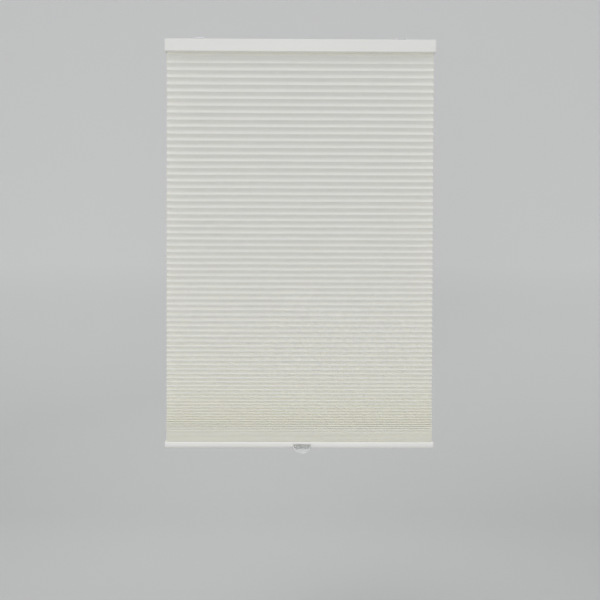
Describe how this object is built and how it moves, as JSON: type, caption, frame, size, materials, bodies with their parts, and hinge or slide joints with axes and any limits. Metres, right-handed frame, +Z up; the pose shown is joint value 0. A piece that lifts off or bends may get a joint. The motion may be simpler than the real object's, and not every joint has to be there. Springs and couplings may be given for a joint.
{
  "type": "pleated blind",
  "caption": "Cordless cellular shade: honeycomb fabric pleated between a cream head rail and a rounded bottom rail with a clear half-moon pull, lifted by a spring motor in the rail.",
  "frame": {"origin": "middle of the row of bracket screw holes, on the face that the brackets are screwed to", "axes": "+X along the rails to the viewer's right, +Y away from the room, +Z up; everything hangs below the origin"},
  "size_m": [0.902, 0.0551, 1.3872],
  "materials": {
    "rail_white": "satin cream paint",
    "cap_white": "satin moulded",
    "bracket_zinc": "zinc plated",
    "latch_white": "satin moulded",
    "motor_dark": "satin moulded",
    "drum_white": "satin moulded",
    "spring_steel": "blued strip",
    "pin_steel": "bright",
    "cord_white": "braided",
    "strip_white": "matt",
    "fabric_cream": "non-woven, matt",
    "ballast_steel": "mill finish",
    "handle_clear": "clear moulded"
  },
  "bodies": {
    "head": {"head_rail": "rail_white", "head_cap_left": "cap_white", "head_cap_right": "cap_white", "bracket_left": "bracket_zinc", "bracket_right": "bracket_zinc", "motor_base": "motor_dark", "motor_cover": "motor_dark", "power_spring": "spring_steel", "cord_guide_left": "motor_dark", "cord_guide_right": "motor_dark", "roller_pin_left": "pin_steel", "roller_pin_right": "pin_steel", "lift_cord_left": "cord_white", "lift_cord_right": "cord_white", "top_strip": "strip_white", "fabric": "fabric_cream"},
    "bottom": {"bottom_strip": "strip_white", "bottom_rail": "rail_white", "bottom_cap_left": "cap_white", "bottom_cap_right": "cap_white", "ballast_bar": "ballast_steel", "cord_anchor_left": "motor_dark", "cord_anchor_right": "motor_dark", "handle": "handle_clear", "handle_screws": "pin_steel"},
    "latch_left": {"bracket_latch_left": "latch_white"},
    "latch_right": {"bracket_latch_right": "latch_white"},
    "spool_left": {"cord_spool_left": "drum_white", "cord_winding_left": "cord_white"},
    "spool_right": {"cord_spool_right": "drum_white", "cord_winding_right": "cord_white"},
    "output_drum": {"spring_output_drum": "drum_white"},
    "storage_drum": {"spring_storage_drum": "drum_white"},
    "roller_left": {"guide_roller_left": "drum_white"},
    "roller_right": {"guide_roller_right": "drum_white"}
  },
  "joints": [
    {"name": "lift", "type": "slide", "parent": "head", "child": "bottom", "axis": [0, 0, 1], "range_m": [-0.46, 1.16], "deforming": ["fabric", "lift_cord_left", "lift_cord_right"]},
    {"name": "latch_left_slide", "type": "slide", "parent": "head", "child": "latch_left", "axis": [0, -1, 0], "range_m": [0, 0.003], "stiffness_N_per_m": 400, "springref_m": -0.001},
    {"name": "latch_right_slide", "type": "slide", "parent": "head", "child": "latch_right", "axis": [0, -1, 0], "range_m": [0, 0.003], "stiffness_N_per_m": 400, "springref_m": -0.001},
    {"name": "spool_left_turn", "type": "hinge", "parent": "head", "child": "spool_left", "pos_m": [-0.054, 0, -0.028], "axis": [0, 0, 1], "range_deg": [-2438, 6118]},
    {"name": "output_drum_turn", "type": "hinge", "parent": "head", "child": "output_drum", "pos_m": [-0.018, 0, -0.028], "axis": [0, 0, 1], "range_deg": [-6118, 2438]},
    {"name": "storage_drum_turn", "type": "hinge", "parent": "head", "child": "storage_drum", "pos_m": [0.018, 0, -0.028], "axis": [0, 0, 1], "range_deg": [-2438, 6118]},
    {"name": "spool_right_turn", "type": "hinge", "parent": "head", "child": "spool_right", "pos_m": [0.054, 0, -0.028], "axis": [0, 0, 1], "range_deg": [-6118, 2438]},
    {"name": "roller_left_turn", "type": "hinge", "parent": "head", "child": "roller_left", "pos_m": [-0.2749, 0, -0.0316], "axis": [0, 1, 0], "range_deg": [-5188, 13052]},
    {"name": "roller_right_turn", "type": "hinge", "parent": "head", "child": "roller_right", "pos_m": [0.2749, 0, -0.0316], "axis": [0, 1, 0], "range_deg": [-13052, 5188]}
  ],
  "couplings": [
    {"joint": "spool_left_turn", "follows": "lift", "rad_per_m": 91.743},
    {"joint": "output_drum_turn", "follows": "lift", "rad_per_m": -91.743},
    {"joint": "storage_drum_turn", "follows": "lift", "rad_per_m": 91.743},
    {"joint": "spool_right_turn", "follows": "lift", "rad_per_m": -91.743},
    {"joint": "roller_left_turn", "follows": "lift", "rad_per_m": 196.08},
    {"joint": "roller_right_turn", "follows": "lift", "rad_per_m": -196.08}
  ]
}
